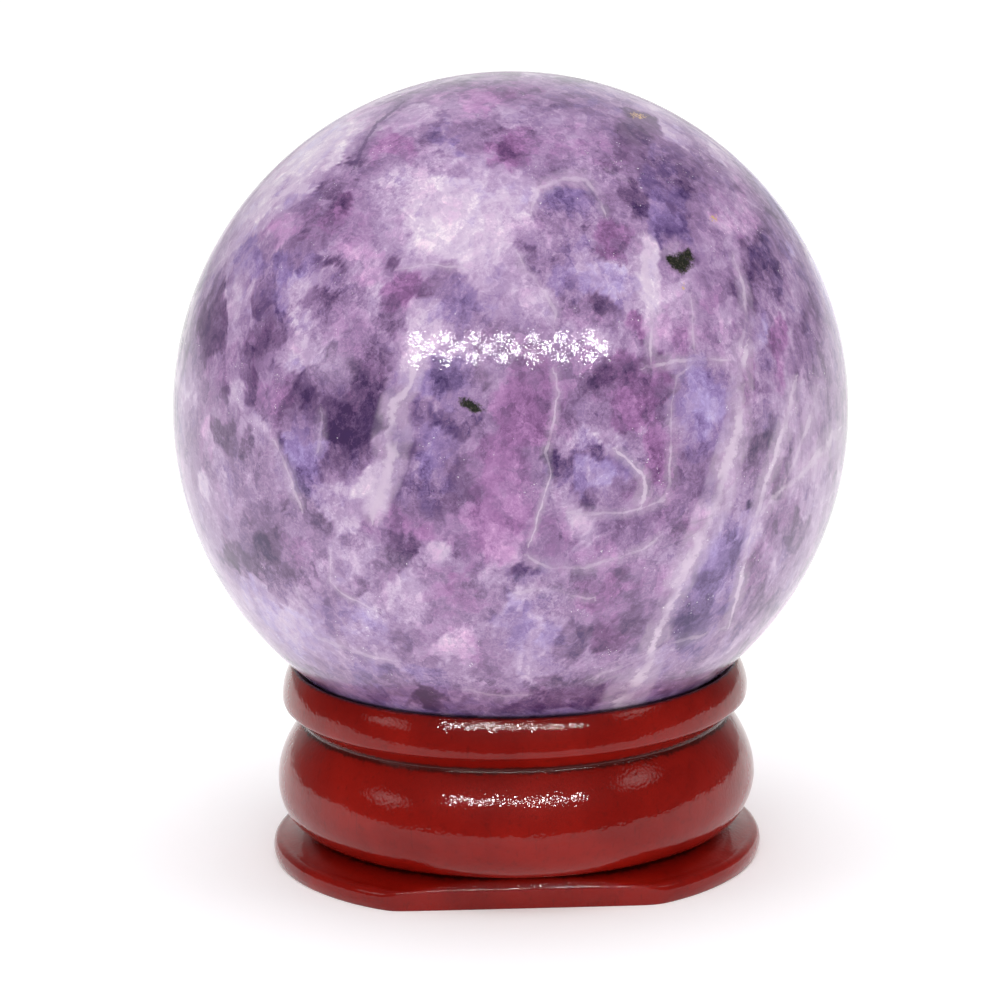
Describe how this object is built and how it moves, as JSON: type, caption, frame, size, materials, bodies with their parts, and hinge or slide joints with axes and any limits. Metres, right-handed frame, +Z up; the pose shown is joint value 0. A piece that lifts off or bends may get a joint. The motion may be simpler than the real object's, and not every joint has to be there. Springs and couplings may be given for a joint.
{
  "type": "polished stone ball on a turned wooden stand",
  "caption": "Polished mottled purple mica stone ball resting in the cone seat of a low turned wooden stand with a ring, a bead and a flat foot, lacquered deep red.",
  "frame": {"origin": "centre of the stand's underside, under the ball's centre", "axes": "+Z up through the ball's centre; -Y towards the front flat of the foot; +X to the right seen from the front"},
  "size_m": [0.04, 0.04, 0.0471],
  "materials": {
    "purple_mica_stone": "polished, mottled violet, lilac and near-white with fine mica glitter",
    "red_lacquered_wood": "deep red gloss lacquer over open-pored wood"
  },
  "bodies": {
    "root": {"stone_ball": "purple_mica_stone", "wooden_stand": "red_lacquered_wood"}
  },
  "joints": []
}
